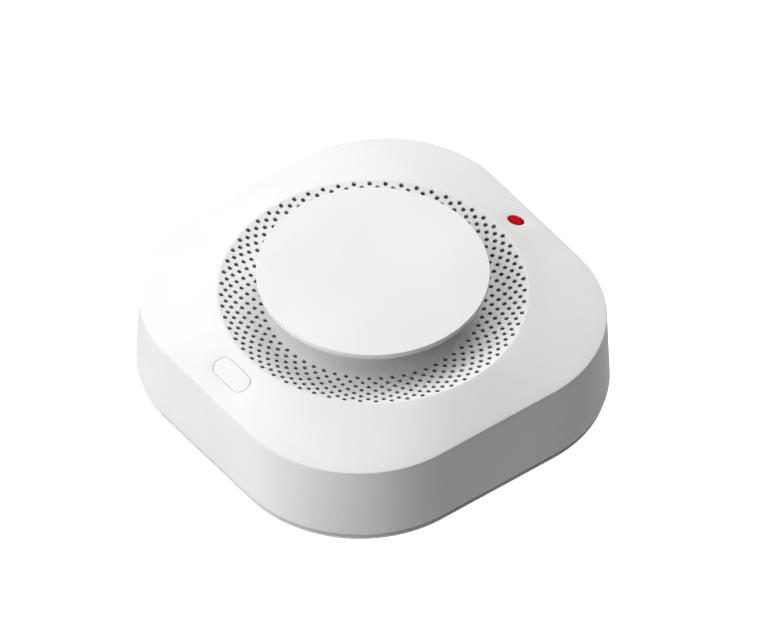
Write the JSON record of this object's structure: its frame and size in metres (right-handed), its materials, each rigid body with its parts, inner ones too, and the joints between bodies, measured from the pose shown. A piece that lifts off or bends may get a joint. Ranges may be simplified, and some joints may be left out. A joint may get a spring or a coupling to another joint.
{
  "type": "smoke detector",
  "caption": "Rounded-square smoke alarm with a perforated inlet dish under a raised round cap, a flush pill test button, a red lamp and a twist-off mounting plate.",
  "frame": {"origin": "centre of the mounting plate's back face, which lies on the ceiling in use", "axes": "+Z out of the ceiling towards the raised cap, +X from the test button towards the lamp"},
  "size_m": [0.0862, 0.0862, 0.0296],
  "materials": {
    "casing_plastic": "white moulded plastic, fine satin texture",
    "plate_plastic": "white moulded plastic, fine satin texture",
    "red_lens": "clear red plastic, polished",
    "board_laminate": "green solder mask on glass-fibre laminate",
    "black_plastic": "black moulded plastic, matt",
    "black_gauze": "fine woven nylon gauze, black",
    "grey_plastic": "grey moulded plastic",
    "plated_steel": "nickel-plated steel",
    "smoked_lens": "dark smoked epoxy, polished",
    "piezo_brass": "brass disc",
    "capacitor_can": "dark blue sleeve on an aluminium can",
    "cell_jacket": "dark grey film on a steel can",
    "red_insulation": "red wire insulation",
    "black_insulation": "black wire insulation"
  },
  "bodies": {
    "mount": {"mounting_plate": "plate_plastic"},
    "head": {"front_cover": "casing_plastic", "inlet_gauze": "black_gauze", "cover_cap": "casing_plastic", "rear_cover": "plate_plastic", "lamp_lens": "red_lens", "status_led": "red_lens", "main_board": "board_laminate", "switch_body": "black_plastic", "chamber_base": "black_plastic", "labyrinth_hood": "black_plastic", "insect_screen": "plated_steel", "ir_emitter": "smoked_lens", "photodiode": "smoked_lens", "sounder_case": "black_plastic", "sounder_base": "black_plastic", "piezo_disc": "piezo_brass", "control_chip": "black_plastic", "step_up_coil": "grey_plastic", "supply_capacitor": "capacitor_can", "battery_cell_1": "cell_jacket", "battery_cell_2": "cell_jacket", "battery_spring_1": "plated_steel", "battery_spring_2": "plated_steel", "plus_contact_1": "plated_steel", "plus_contact_2": "plated_steel", "minus_contact_1": "plated_steel", "minus_contact_2": "plated_steel", "battery_lead_plus_1": "red_insulation", "battery_lead_plus_2": "red_insulation", "battery_lead_minus_1": "black_insulation", "battery_lead_minus_2": "black_insulation", "housing_screw_1": "plated_steel", "housing_screw_2": "plated_steel", "housing_screw_3": "plated_steel", "housing_screw_4": "plated_steel", "board_screw_1": "plated_steel", "board_screw_2": "plated_steel", "board_screw_3": "plated_steel", "board_screw_4": "plated_steel"},
    "button": {"test_button": "casing_plastic"},
    "plunger": {"switch_plunger": "grey_plastic"}
  },
  "joints": [
    {"name": "bayonet_twist", "type": "hinge", "parent": "mount", "child": "head", "pos_m": [0, 0, 0], "axis": [0, 0, 1], "range_deg": [0, 12]},
    {"name": "test_press", "type": "slide", "parent": "head", "child": "button", "axis": [0, 0, -1], "range_m": [0, 0.0008], "stiffness_N_per_m": 800},
    {"name": "plunger_press", "type": "slide", "parent": "head", "child": "plunger", "axis": [0, 0, -1], "range_m": [0, 0.0006]}
  ],
  "couplings": [
    {"joint": "plunger_press", "follows": "test_press", "ratio": 0.75}
  ]
}
